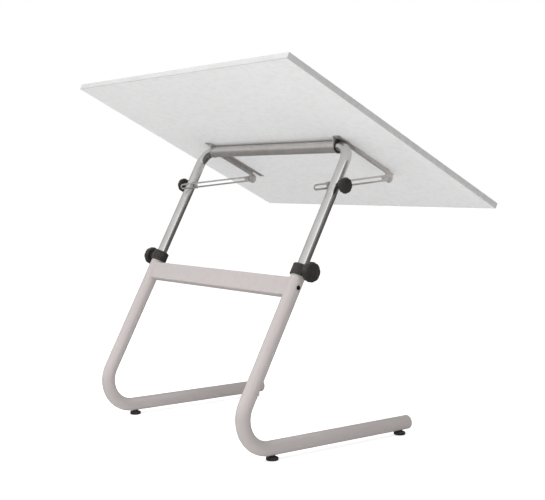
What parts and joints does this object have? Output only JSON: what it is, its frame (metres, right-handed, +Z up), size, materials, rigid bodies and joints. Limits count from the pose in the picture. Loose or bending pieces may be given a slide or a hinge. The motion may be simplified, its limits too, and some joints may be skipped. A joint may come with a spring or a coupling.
{
  "type": "drafting table",
  "caption": "Free-standing drafting table: a rectangular board tilting on a chrome hinge bar, slotted tilt struts, and a bent tube stand with telescoping legs and clamp knobs.",
  "frame": {"origin": "on the floor, under the middle of the whole table's box", "axes": "+X along the board's long edge, +Y away from the user towards the board's high edge, +Z up"},
  "size_m": [1, 0.7488, 0.984],
  "materials": {
    "painted_steel": "satin light grey powder coat",
    "chrome": "polished",
    "black_plastic": "moulded, fine grain",
    "black_screw": "blackened steel",
    "zinc_steel": "zinc plated",
    "brass": "turned",
    "chipboard": "pressed wood chips",
    "white_laminate": "matt melamine",
    "edge_pvc": "satin edge band"
  },
  "bodies": {
    "base": {"leg_tube_left": "painted_steel", "leg_tube_right": "painted_steel", "cross_rail": "painted_steel", "runner_cap_left": "painted_steel", "runner_cap_right": "painted_steel", "weld_nuts": "zinc_steel", "collar_left": "black_plastic", "collar_right": "black_plastic", "collar_inserts": "brass", "guide_bush_left": "black_plastic", "guide_bush_right": "black_plastic", "bush_screws": "black_screw", "height_washers": "zinc_steel"},
    "column": {"chrome_u_tube": "chrome", "glide_plugs": "black_plastic", "tilt_bolt_left": "zinc_steel", "tilt_bolt_right": "zinc_steel", "bolt_washers": "zinc_steel", "bolt_saddles": "zinc_steel", "knob_hub_left": "black_plastic", "knob_hub_right": "black_plastic"},
    "board": {"board_core": "chipboard", "laminate_top": "white_laminate", "laminate_bottom": "white_laminate", "edge_band_front": "edge_pvc", "edge_band_rear": "edge_pvc", "edge_band_left": "edge_pvc", "edge_band_right": "edge_pvc", "board_screws": "zinc_steel", "sleeve_bar": "zinc_steel", "hinge_bushes": "black_plastic", "bracket_left": "zinc_steel", "bracket_right": "zinc_steel", "rivet_heads": "zinc_steel"},
    "clip_left": {"clip_left": "zinc_steel"},
    "strut_left": {"strut_left": "zinc_steel", "pivot_pin_left": "zinc_steel"},
    "tilt_knob_left": {"tilt_knob_left": "black_plastic", "tilt_insert_left": "brass"},
    "height_knob_left": {"height_knob_left": "black_plastic", "height_screw_left": "zinc_steel", "pressure_pads_left": "brass"},
    "clip_right": {"clip_right": "zinc_steel"},
    "strut_right": {"strut_right": "zinc_steel", "pivot_pin_right": "zinc_steel"},
    "tilt_knob_right": {"tilt_knob_right": "black_plastic", "tilt_insert_right": "brass"},
    "height_knob_right": {"height_knob_right": "black_plastic", "height_screw_right": "zinc_steel", "pressure_pads_right": "brass"},
    "foot_front_left": {"foot_front_left": "black_plastic", "foot_stud_front_left": "zinc_steel"},
    "foot_front_right": {"foot_front_right": "black_plastic", "foot_stud_front_right": "zinc_steel"},
    "foot_rear_left": {"foot_rear_left": "black_plastic", "foot_stud_rear_left": "zinc_steel"},
    "foot_rear_right": {"foot_rear_right": "black_plastic", "foot_stud_rear_right": "zinc_steel"}
  },
  "joints": [
    {"name": "height_slide", "type": "slide", "parent": "base", "child": "column", "axis": [0, -0.4695, 0.8829], "range_m": [-0.13, 0.11]},
    {"name": "board_tilt", "type": "hinge", "parent": "column", "child": "board", "pos_m": [0, 0.00899, 0.78244], "axis": [1, 0, 0], "range_deg": [-26, 39]},
    {"name": "clip_turn_left", "type": "hinge", "parent": "column", "child": "clip_left", "pos_m": [-0.3124, 0.06275, 0.68134], "axis": [1, 0, 0], "range_deg": [-20, 30]},
    {"name": "strut_slide_left", "type": "slide", "parent": "clip_left", "child": "strut_left", "axis": [0, 0.9951, -0.0985], "range_m": [-0.046, 0.068]},
    {"name": "tilt_knob_turn_left", "type": "hinge", "parent": "column", "child": "tilt_knob_left", "pos_m": [-0.375, 0.06275, 0.68134], "axis": [-1, 0, 0], "range_deg": [0, 360]},
    {"name": "height_knob_turn_left", "type": "hinge", "parent": "base", "child": "height_knob_left", "pos_m": [-0.377, 0.17659, 0.46723], "axis": [-1, 0, 0], "range_deg": [0, 360]},
    {"name": "clip_turn_right", "type": "hinge", "parent": "column", "child": "clip_right", "pos_m": [0.3124, 0.06275, 0.68134], "axis": [1, 0, 0], "range_deg": [-20, 30]},
    {"name": "strut_slide_right", "type": "slide", "parent": "clip_right", "child": "strut_right", "axis": [0, 0.9951, -0.0985], "range_m": [-0.046, 0.068]},
    {"name": "tilt_knob_turn_right", "type": "hinge", "parent": "column", "child": "tilt_knob_right", "pos_m": [0.375, 0.06275, 0.68134], "axis": [1, 0, 0], "range_deg": [0, 360]},
    {"name": "height_knob_turn_right", "type": "hinge", "parent": "base", "child": "height_knob_right", "pos_m": [0.377, 0.17659, 0.46723], "axis": [1, 0, 0], "range_deg": [0, 360]},
    {"name": "foot_turn_front_left", "type": "hinge", "parent": "base", "child": "foot_front_left", "pos_m": [-0.334, -0.17549, 0], "axis": [0, 0, 1], "range_deg": [-360, 360]},
    {"name": "foot_turn_front_right", "type": "hinge", "parent": "base", "child": "foot_front_right", "pos_m": [0.334, -0.17549, 0], "axis": [0, 0, 1], "range_deg": [-360, 360]},
    {"name": "foot_turn_rear_left", "type": "hinge", "parent": "base", "child": "foot_rear_left", "pos_m": [-0.334, 0.26537, 0], "axis": [0, 0, 1], "range_deg": [-360, 360]},
    {"name": "foot_turn_rear_right", "type": "hinge", "parent": "base", "child": "foot_rear_right", "pos_m": [0.334, 0.26537, 0], "axis": [0, 0, 1], "range_deg": [-360, 360]}
  ],
  "couplings": [
    {"joint": "clip_turn_left", "follows": "board_tilt", "ratio": 0.73},
    {"joint": "strut_slide_left", "follows": "board_tilt", "m_per_rad": 0.099},
    {"joint": "clip_turn_right", "follows": "board_tilt", "ratio": 0.73},
    {"joint": "strut_slide_right", "follows": "board_tilt", "m_per_rad": 0.099}
  ]
}
